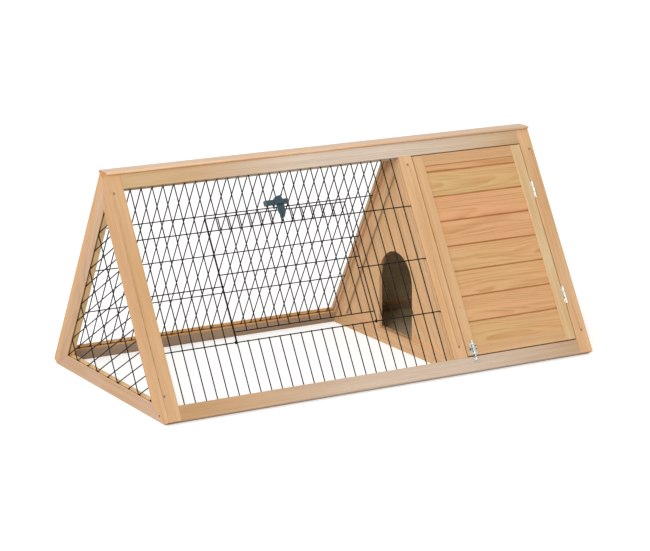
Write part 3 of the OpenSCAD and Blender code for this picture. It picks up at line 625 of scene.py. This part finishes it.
# %% [markdown]
# A wire is a circle carried along a line, with the faintest bow, and its ends domed like a cropped
# and dipped wire. The coating is drawn 0.2 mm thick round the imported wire, so that the mesh reads as
# strongly as in the picture. All the wires of a panel are worked out as one array.

# %% Round wire
WIRE_R, COATED_R = 0.0012, 0.0014
WIRE_SIDES, WIRE_RINGS = 12, 17
BOW = 0.00012                           # how far a wire typically bows sideways at its middle
DOME_AT = np.array([0.0, 0.15, 0.5])    # rings of a domed end, in radii from its tip
DOME_R = [0.45, 0.75, 0.95]             # and the size of each, in radii
NEARLY_ALONG = 0.9                      # a wire this near X takes Z to find its sides
AROUND = np.arange(WIRE_SIDES) * 2 * np.pi / WIRE_SIDES


def square_to(axis):
    """Two unit directions square to each axis: its cross product with X or Z, and with that again."""
    helper = np.where(np.abs(axis[:, :1]) > NEARLY_ALONG, [[0.0, 0.0, 1.0]], [[1.0, 0.0, 0.0]])
    side = unit(np.cross(axis, helper))
    return side, np.cross(axis, side)


def wire_rings(length):
    """(t, radius) of the rings of a wire: even between its ends, and closing over the last half
    radius. t is 0..1 on the longest wire, so a shorter one has shorter domes."""
    dome = COATED_R * DOME_AT / length
    t = np.concatenate([dome, np.linspace(0.0, 1.0, WIRE_RINGS)[1:-1], 1 - dome[::-1]])
    return t, COATED_R * np.concatenate([DOME_R, np.ones(WIRE_RINGS - 2), DOME_R[::-1]])


def wires(starts, ends, seed):
    """Circles carried from each start to its end. At t along the wire, the centre has moved sideways
    by sin(pi t) * BOW * a random amount in each of the two directions square to it."""
    run = ends - starts
    length = np.linalg.norm(run, axis=1, keepdims=True)
    side, over = square_to(run / length)
    t, radius = wire_rings(length.max())
    luck = np.random.default_rng(seed).normal(size=(len(starts), 2, 1, 1)) * BOW
    sideways = luck[:, 0] * side[:, None] + luck[:, 1] * over[:, None]
    centre = starts[:, None] + run[:, None] * t[:, None] + np.sin(np.pi * t)[:, None] * sideways
    circle = np.cos(AROUND)[:, None] * side[:, None] + np.sin(AROUND)[:, None] * over[:, None]
    points = centre[:, :, None] + radius[:, None, None] * circle[:, None]
    block = len(t) * WIRE_SIDES
    faces = [face for n in range(len(starts)) for face in tube_faces(len(t), WIRE_SIDES, n * block)]
    return points.reshape(-1, 3), faces


print("rings of a wire:", len(wire_rings(1.0)[0]))

# %% [markdown]
# A weld is a small squashed ball where two wires meet, which fills the fillet between the layers.
# There are hundreds, so each has only a few dozen faces.

# %% Weld beads
BALL_SIDES, BALL_RINGS = 8, 3
WELD_BEAD = (0.0015, 0.0015, 0.0011)    # half widths along the wires and half thickness


def balls(centres, axes, sizes):
    """A squashed ball at each centre: unit sphere points times the three sizes along the axes.
    Mirrored axes would turn its faces inward, so they are all reversed, which leaves the ball as it is."""
    axes = np.asarray(axes, float)
    axes = axes * np.sign(np.linalg.det(axes))
    lat = np.linspace(-np.pi / 2, np.pi / 2, BALL_RINGS + 2)[1:-1]
    lon = np.arange(BALL_SIDES) * 2 * np.pi / BALL_SIDES
    belts = np.stack([np.outer(np.cos(lat), np.cos(lon)), np.outer(np.cos(lat), np.sin(lon)),
                      np.outer(np.sin(lat), np.ones(BALL_SIDES))], -1).reshape(-1, 3)
    sphere = np.vstack([belts, [[0, 0, -1], [0, 0, 1]]])
    points = np.asarray(centres, float)[:, None] + (sphere * sizes) @ axes

    around = np.arange(BALL_SIDES)
    step = (around + 1) % BALL_SIDES
    top, south, north = len(belts) - BALL_SIDES, len(belts), len(belts) + 1
    one = tube_faces(BALL_RINGS, BALL_SIDES)[:-2]
    one += [(b, a, south) for a, b in zip(around, step)]
    one += [(top + a, top + b, north) for a, b in zip(around, step)]
    faces = [tuple(int(i) + n * len(sphere) for i in face) for n in range(len(points)) for face in one]
    return points.reshape(-1, 3), faces


print("faces of a bead:", len(balls([[0, 0, 0]], np.eye(3), WELD_BEAD)[1]))

# %% [markdown]
# The wire's finish is a thin black coating baked on galvanised steel. It is smooth where it flowed
# and a little rough where it sagged, so the roughness wanders and the colour hardly does.

# %% Coated wire
SAG_MM = 6              # a drop of coating runs on for about this far before it sets
NOISE_SPAN = (0.2, 0.8)             # nearly all of a noise lies between these
COATED_ROUGH = (0.45, 0.62)         # roughness where it flowed and where it sagged

coated_wire, node = new_material("black_coated_wire")
sag = node("TexNoise", {"Vector": node("TexCoord").outputs["Object"], "Scale": 1000 / SAG_MM, "Detail": 2.0})
node("OutputMaterial", [node("BsdfPrincipled", {
    "Base Color": node("Mix", [sag, linear("#100d0b"), linear("#1d1916")], data_type="RGBA"),
    "Roughness": node("MapRange", [sag, *NOISE_SPAN, *COATED_ROUGH]),
    "Specular IOR Level": 0.12})])
print("coating:", coated_wire.name)


# %% A panel of wire
def wire_panel(name, parts, body, replaced):
    """Joins (points, faces) parts to one smooth-shaded piece that stands for a CAD node."""
    points, faces, first = [], [], 0
    for part_points, part_faces in parts:
        points.append(part_points)
        faces += [tuple(i + first for i in face) for face in part_faces]
        first += len(part_points)
    panel = place_mesh(name, np.vstack(points), faces)
    shade_smooth(panel)
    panel.data.materials.append(coated_wire)
    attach(panel, body)
    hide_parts(replaced)
    print(name, "faces:", len(faces))


def leaned_parts(lines, crossings, lean_over, seed):
    """Wires and weld beads of a flat panel, leaned over."""
    ends = lean_over(np.array(lines))
    axes = lean_over(np.eye(3)) - lean_over(np.zeros((1, 3)))
    return [wires(ends[:, 0], ends[:, 1], seed), balls(lean_over(np.array(crossings)), axes, WELD_BEAD)]


print("back panel is mirrored:", np.linalg.det(on_back(np.eye(3)) - on_back(np.zeros((1, 3)))) < 0)

# %% [markdown]
# The mesh bay lies between the left and middle stiles. Close wires run up the slope and cross wires
# along it, one layer outside the other, and both end in a groove of the frame. The grid is centred
# in the bay, so its places follow from the bay's edges, the pitch and the number of wires.

# %% Grid of the sloping meshes
MESH_PITCH, CROSS_PITCH = 0.0283, 0.1365        # between close wires, and between cross wires
BATTEN_W, SLOPE_L = 0.036, 0.596                # width of a batten, and the panel from foot to head
MESH_DEPTH, BACK_MESH_DEPTH = 0.008, 0.0115     # of the mesh's middle under the panel's outer face
BACK_MESH_DROP = 0.0056                         # the back's cross wires lie this much lower
WIRE_SEAT, WELD = 0.007, 0.0004                 # how far a wire goes into its groove, and into a wire
wire_flat = WIRE_R * math.cos(math.pi / 6)      # a packed wire is six-sided, and lies on its flats
layer = 2 * wire_flat - WELD
CROSS_Z, CLOSE_Z = -MESH_DEPTH + layer / 2, -MESH_DEPTH - layer / 2

bay_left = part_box("front_left_stile")[1].x
bay_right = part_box("front_mid_stile")[0].x
cells = int((bay_right - bay_left - MESH_PITCH / 2) / MESH_PITCH)
close_x = (bay_left + bay_right) / 2 + (np.arange(cells + 1) - cells / 2) * MESH_PITCH
cross_y = SLOPE_L / 2 + np.array([-1, 0, 1]) * CROSS_PITCH
foot_y, head_y = BATTEN_W - WIRE_SEAT, SLOPE_L - BATTEN_W + WIRE_SEAT
end_x = (bay_left - WIRE_SEAT, bay_right + WIRE_SEAT)


def up_wires(xs, y0, y1, z=CLOSE_Z):
    """Lines up the slope from y0 to y1, one at each x."""
    return [((x, y0, z), (x, y1, z)) for x in xs]


def along_wires(ys, x0, x1, z=CROSS_Z):
    """Lines along the run from x0 to x1, one at each y."""
    return [((x0, y, z), (x1, y, z)) for y in ys]


print("close wires:", len(close_x), "cross wires:", len(cross_y))

# %% Mesh of the back panel
back_z, back_cross_y = MESH_DEPTH - BACK_MESH_DEPTH, cross_y - BACK_MESH_DROP
lines = up_wires(close_x, foot_y, head_y, CLOSE_Z + back_z)
lines += along_wires(back_cross_y, *end_x, CROSS_Z + back_z)
grid = [(x, y, -BACK_MESH_DEPTH) for x in close_x for y in back_cross_y]
wire_panel("back_mesh_wire", leaned_parts(lines, grid, on_back, 1), "frame", "back_mesh")

# %% [markdown]
# The front mesh is cropped between its outer cross wires, where the wire door hangs. Each cropped
# wire keeps a short tail past the last wire that it is welded to.

# %% Mesh of the front panel
GATE_FIRST, GATE_CELLS = 6, 13          # the close wire where the opening starts, and its cells
GATE_LAST = GATE_FIRST + GATE_CELLS
TAIL = 2 * WIRE_R

opening = slice(GATE_FIRST + 1, GATE_LAST)
beside = np.delete(close_x, opening)
lines = up_wires(beside, foot_y, head_y)
lines += up_wires(close_x[opening], foot_y, cross_y[0] + TAIL)
lines += up_wires(close_x[opening], cross_y[2] - TAIL, head_y)
lines += along_wires(cross_y[[0, 2]], *end_x)
lines += along_wires(cross_y[[1]], end_x[0], close_x[GATE_FIRST] + TAIL)
lines += along_wires(cross_y[[1]], close_x[GATE_LAST] - TAIL, end_x[1])
grid = ([(x, y, -MESH_DEPTH) for x in close_x for y in cross_y[[0, 2]]]
        + [(x, cross_y[1], -MESH_DEPTH) for x in beside])
wire_panel("front_mesh_wire", leaned_parts(lines, grid, on_front, 2), "frame", "front_mesh")

# %% [markdown]
# The end mesh is a piece of the same roll, laid square to the front leg and cropped to the
# triangle. Its wires are found by cutting endless lines against the three sides of the triangle. A
# side is an inward normal n and an offset c, so that a point p is inside where n . p >= c.

# %% Sides of the left end
END_DEPTH = 0.0045      # the mesh's middle lies this far inside the outer face
PARALLEL = 1e-9         # a line that nears a side by less than this for each metre runs along it
rail_low, rail_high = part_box("left_bottom_rail")
base_half = (rail_high.y - rail_low.y) / 2
mesh_x = rail_low.x + END_DEPTH
inset = BATTEN_W - WIRE_SEAT
inner_foot = np.array([-(base_half - BATTEN_W / math.tan(LEAN / 2)), BATTEN_W])
up_leg = np.array([math.cos(LEAN), math.sin(LEAN)])
off_leg = np.array([math.sin(LEAN), -math.cos(LEAN)])
side_normals = np.array([[0, 1], [math.sin(LEAN), -math.cos(LEAN)], [-math.sin(LEAN), -math.cos(LEAN)]])
side_offsets = np.array([inset, inset - base_half * math.sin(LEAN), inset - base_half * math.sin(LEAN)])


def cropped(points, direction, x):
    """(start, end) at x of the stretch of each line point + t * direction inside all three sides:
    t runs from the last side that the line comes in by to the first one that it leaves by."""
    rate = side_normals @ direction
    crosses = np.abs(rate) > PARALLEL
    t = (side_offsets - points @ side_normals.T)[:, crosses] / rate[crosses]
    entering = rate[crosses] > 0
    ends = [points + t[:, entering].max(axis=1, keepdims=True) * direction,
            points + t[:, ~entering].min(axis=1, keepdims=True) * direction]
    return [np.insert(end, 0, x, axis=1) for end in ends]


print("end mesh lies at x:", round(mesh_x, 4))

# %% Mesh of the left end
END_CLOSE_FIRST, END_CROSS_FIRST, END_CROSS_PITCH = 0.0108, 0.068, 0.098    # from the leg's inner foot
leg_length = -2 * inner_foot[0]
close_s = np.arange(END_CLOSE_FIRST, leg_length, MESH_PITCH)
cross_s = np.arange(END_CROSS_FIRST, leg_length * math.sin(LEAN), END_CROSS_PITCH)
cross_s = np.append(cross_s, -(WIRE_SEAT - 2 * WIRE_R))         # the last one lies in the leg's groove
close_start, close_end = cropped(inner_foot + close_s[:, None] * up_leg, off_leg, mesh_x + layer / 2)
cross_start, cross_end = cropped(inner_foot + cross_s[:, None] * off_leg, up_leg, mesh_x - layer / 2)

spots = (inner_foot + close_s[:, None, None] * up_leg + cross_s[:, None] * off_leg).reshape(-1, 2)
joints = np.insert(spots[(spots @ side_normals.T > side_offsets).all(axis=1)], 0, mesh_x, axis=1)
end_axes = [[0, *up_leg], [0, *off_leg], [1, 0, 0]]
wire_panel("left_end_mesh_wire",
           [wires(np.vstack([close_start, cross_start]), np.vstack([close_end, cross_end]), 3),
            balls(joints, end_axes, WELD_BEAD)], "frame", "left_end_mesh")

# %% [markdown]
# The wire door is a smaller welded panel outside the front mesh. Its two side wires run on down and
# are bent into eyes round the mesh's lowest cross wire, which is its hinge. An eye is a circle
# carried round the hinge wire, joined to the side wire where it starts.

# %% Wire door
GATE_LEFT, GATE_RIGHT = 0.004, 0.008    # how far its sides stand past those of the opening
GATE_FOOT, GATE_H = 0.024, 0.279        # its lowest cross wire above the hinge wire, and its height
GATE_GAP = 0.0008                       # between its wires and the mesh's
EYE_TURNS, EYE_RINGS = 0.97, 28         # an eye stops just short of a full turn
gate_sides = np.array([close_x[GATE_FIRST] - GATE_LEFT, close_x[GATE_LAST] + GATE_RIGHT])
gate_x = gate_sides.mean() + (np.arange(GATE_CELLS + 1) - GATE_CELLS / 2) * MESH_PITCH
gate_x[[0, -1]] = gate_sides
gate_close_z = CROSS_Z + 2 * wire_flat + GATE_GAP
gate_cross_z = gate_close_z + layer
gate_y = cross_y[0] + GATE_FOOT + GATE_H * np.array([0, 0.5, 1])
eye_r = gate_close_z - CROSS_Z


def eye(x):
    """A circle of COATED_R carried round the hinge wire at eye_r, from the side wire and back to it."""
    turn = np.linspace(0, 2 * np.pi * EYE_TURNS, EYE_RINGS) + np.pi / 2
    out = np.stack([np.zeros(EYE_RINGS), np.cos(turn), np.sin(turn)], -1)
    centre = np.array([x, cross_y[0], CROSS_Z]) + eye_r * out
    points = (centre[:, None] + COATED_R * (np.cos(AROUND)[:, None] * out[:, None]
              + np.sin(AROUND)[:, None] * np.array([-1.0, 0, 0])))
    return on_front(points.reshape(-1, 3)), tube_faces(EYE_RINGS, WIRE_SIDES)


lines = up_wires(gate_x[1:-1], gate_y[0] - WIRE_R, gate_y[2] + WIRE_R, gate_close_z)
lines += up_wires(gate_x[[0, -1]], cross_y[0], gate_y[2] + WIRE_R, gate_close_z)
lines += along_wires(gate_y, gate_x[0] - WIRE_R, gate_x[-1] + WIRE_R, gate_cross_z)
grid = [(x, y, (gate_close_z + gate_cross_z) / 2) for x in gate_x for y in gate_y]
wire_panel("wire_door_wire", leaned_parts(lines, grid, on_front, 4) + [eye(gate_x[0]), eye(gate_x[-1])],
           "wire_door", "wire_door")

# %% [markdown]
# Hinges, bolt and keeper are pressed from mild steel and zinc plated: bright, faintly blue, with a
# fine cloudiness from the plating bath. The bolt is handled and rubbed, so its zinc is warmer and
# duller. The frame's screws and the nail are steel with a dull brown passivation, and the smallest
# screws are blackened. All are metals, so the colour is in the reflection.

# %% Plated steel
CLOUD_MM = 2.4          # size of the plating's cloudiness


def plated(name, dark, light, smooth, dull):
    """A plated steel: the cloud noise moves its colour from dark to light and its polish to dull."""
    material, node = new_material(name)
    cloud = node("TexNoise", {"Vector": node("TexCoord").outputs["Object"], "Scale": 1000 / CLOUD_MM,
                              "Detail": 3.0})
    node("OutputMaterial", [node("BsdfPrincipled", {
        "Base Color": node("Mix", [cloud, linear(dark), linear(light)], data_type="RGBA"),
        "Roughness": node("MapRange", [cloud, *NOISE_SPAN, smooth, dull]), "Metallic": 1.0})])
    return material


bright_zinc = plated("bright_zinc_plate", "#c4c9cd", "#ebedeb", 0.24, 0.48)
worn_zinc = plated("worn_zinc_plate", "#aeaba4", "#dedbd4", 0.34, 0.60)
brown_steel = plated("brown_passivated_steel", "#8b7c68", "#b3a48c", 0.35, 0.55)
black_steel = plated("black_oxide_steel", "#2e2b28", "#4a4641", 0.40, 0.60)
print("cloudiness:", CLOUD_MM, "mm")

# %% Hinges, bolt and frame screws
PRESSED_EDGE = 0.0003   # a press rounds the edges of its steel by about this much

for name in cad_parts:
    if "hinge" in name or name.startswith("bolt_"):
        dress(name, worn_zinc if name.startswith("bolt_") else bright_zinc)
        ease_edges(name, PRESSED_EDGE)
    elif name.endswith("_screws"):
        dress(name, brown_steel)
print("hinges, bolt and screws dressed")

# %% [markdown]
# Small fasteners finish it: four screws that hold the bolt's plate, one that was driven into the
# left end beside the front foot, and the nail in the door's stile. A screw head is a shallow dome
# with a cross sunk into it, worked out as one height over polar rings, so that the cross is part of
# the surface and not a second object. The nail's head is the same dome without a cross, and so is
# the foot screw's, whose cross is too small to show.

# %% Screw heads
HEAD_RINGS, HEAD_SIDES = 14, 40
FIRST_RING, CROWDING = 0.02, 0.7        # the rings start near the middle and crowd towards the rim
HEAD_SINK = 0.0004                      # the rim goes this far below the surface
CROSS_ARM, CROSS_SLOPE, CROSS_REACH = 0.13, 0.08, 0.62  # half width, side and length of an arm, in radii
NOT_OUTWARD = [0.3, 1.0, 0.2]           # any direction that no head faces, to find its sides


def screw_head(name, place, outward, radius, rise, cut, body, material, turn=0.4):
    """Height over polar (r, angle): rise * (1 - (r / R)^2), less cut where x or y is near 0 and r is
    within CROSS_REACH. The rim goes straight down, and a polygon closes the middle and the underside."""
    r = radius * np.concatenate([np.linspace(FIRST_RING, 1.0, HEAD_RINGS) ** CROWDING, [1.0]])
    angle = -np.arange(HEAD_SIDES) * 2 * np.pi / HEAD_SIDES
    x, y = np.outer(r, np.cos(angle)), np.outer(r, np.sin(angle))
    near = np.minimum(np.abs(x), np.abs(y))
    cross = (np.clip((CROSS_ARM * radius - near) / (CROSS_SLOPE * radius), 0, 1)
             * (r < CROSS_REACH * radius)[:, None])
    height = rise * (1 - (r / radius) ** 2)[:, None] - cut * cross
    height[-1] = -HEAD_SINK
    normal = np.asarray(outward, float)
    side = unit(np.cross(normal, NOT_OUTWARD))
    over = np.cross(normal, side)
    c, s = math.cos(turn), math.sin(turn)
    side, over = c * side + s * over, c * over - s * side
    points = np.asarray(place) + x[..., None] * side + y[..., None] * over + height[..., None] * normal
    head = place_mesh(name, points, tube_faces(HEAD_RINGS + 1, HEAD_SIDES))
    shade_smooth(head)
    head.data.materials.append(material)
    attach(head, body)


print("points of a screw head:", (HEAD_RINGS + 1) * HEAD_SIDES)

# %% Small fasteners
PLATE_T = 0.0012        # the bolt's plate, on the panel's outer face
BOLT_SCREWS = ((0.2408, 0.0535), (0.2583, 0.0535), (0.2410, 0.0620), (0.2581, 0.0620))
STILE_NAIL = (0.246, 0.1615, 0)         # this and the bolt's screws in panel coordinates
FOOT_SCREW = (-0.5900, -0.272, 0.015)   # in the frame's own, on the outer face of the left end

for n, (x, y) in enumerate(BOLT_SCREWS):
    screw_head(f"bolt_screw_{n}", on_front((x, y, PLATE_T)), OUT_OF_SLOPE, radius=0.0020, rise=0.0006,
               cut=0.0005, body="house_door", material=black_steel, turn=n)
screw_head("end_foot_screw", FOOT_SCREW, -RUN, radius=0.0030, rise=0.0001, cut=0, body="frame",
           material=black_steel)
screw_head("door_stile_nail", on_front(STILE_NAIL), OUT_OF_SLOPE, radius=0.0016, rise=0.0002, cut=0,
           body="house_door", material=brown_steel)
print("small fasteners placed")

# %% [markdown]
# The wire door's latch is moulded in a dark green-blue plastic, with the soft orange peel of a cheap
# mould. Its gloss shows the studio along every eased edge, which is what makes it look moulded.

# %% Latch plastic
PEEL_MM = 1.1           # size of one dimple of the peel
MOULDED_EDGE = 1.25 * ARRIS

latch_plastic, node = new_material("moulded_latch_plastic")
peel = node("TexNoise", {"Vector": node("TexCoord").outputs["Object"], "Scale": 1000 / PEEL_MM,
                         "Detail": 2.0})
node("OutputMaterial", [node("BsdfPrincipled", {
    "Base Color": node("Mix", [peel, linear("#1f3740"), linear("#2a4953")], data_type="RGBA"),
    "Roughness": 0.38, "Normal": node("Bump", {"Height": peel, "Strength": 0.2, "Distance": 0.0002})})])
for name in ("latch_keeper", "latch_tongue"):
    dress(name, latch_plastic)
    ease_edges(name, MOULDED_EDGE)
print("latch dressed")

# %% [markdown]
# The studio is a matt floor of pale paper in a pale world. Only rays that show something to the
# camera, straight, mirrored or through glass, see them white; the floor adds its white to the light
# that falls on it, so the shadow stays.

# %% Studio floor and world
FLOOR_HALF, FLOOR_GREY, FLOOR_GLOW = 9, "#c6c5c2", 0.62
AROUND_STRENGTH, WHITE_STRENGTH = 0.64, 1.0


def seen(node):
    """1 for a ray that shows a surface to the camera, straight, mirrored or through glass, else 0."""
    path = node("LightPath").outputs
    mirrored = node("Math", [path["Is Camera Ray"], path["Is Glossy Ray"]], operation="MAXIMUM")
    return node("Math", [mirrored, path["Is Transmission Ray"]], operation="MAXIMUM")


corners = FLOOR_HALF * np.array([[-1, -1, 0], [1, -1, 0], [1, 1, 0], [-1, 1, 0]], float)
floor = place_mesh("studio_floor", corners, [(0, 1, 2, 3)])
paper, node = new_material("pale_paper_floor")
glow = node("Emission", {"Strength": node("Math", [seen(node), FLOOR_GLOW], operation="MULTIPLY")})
matt = node("BsdfPrincipled", {"Base Color": linear(FLOOR_GREY), "Roughness": 0.9})
node("OutputMaterial", [node("AddShader", [matt, glow])])
floor.data.materials.append(paper)

world = bpy.data.worlds.new("studio_world")
world.use_nodes = True
world.node_tree.nodes.clear()
node = partial(add, world.node_tree)
around = node("Background", {"Color": linear("#ffffff"), "Strength": AROUND_STRENGTH})
white = node("Background", {"Color": linear("#ffffff"), "Strength": WHITE_STRENGTH})
node("OutputWorld", [node("MixShader", [seen(node), around, white])])
bpy.context.scene.world = world
print("floor and world ready")

# %% [markdown]
# Three square panels light it. The key is wide and high at the left, so its shadows are soft. The
# fill is small, left of the camera and above it, and shines through the doorway far enough to show
# the house floor, which leaves the doorway's top dark. The side panel is low and lights the left end.
# Their watts are set so that a colour renders about as it is written.

# %% Lamps
PANELS = {              # name: (place, the point that it looks at, side in metres, watts)
    "key_panel": ((-5.0, -3.2, 5.4), (0, 0, 0.2), 5.0, 210),
    "fill_panel": ((-3.2, -3.7, 2.95), (0.2, 0, 0.15), 0.8, 63),
    "side_panel": ((-4.5, -0.8, 1.0), (0.2, 0, 0.25), 3.0, 27),
}
for name, (place, aim, size, watts) in PANELS.items():
    lamp = bpy.data.lights.new(name, "AREA")
    lamp.size, lamp.energy = size, watts
    back = unit(np.subtract(place, aim))
    side = unit(np.cross([0, 1, 0], back))
    stand(name, lamp, (side, np.cross(back, side), back), place)
bpy.context.scene.view_settings.view_transform = "Standard"
print("lamps:", list(PANELS))
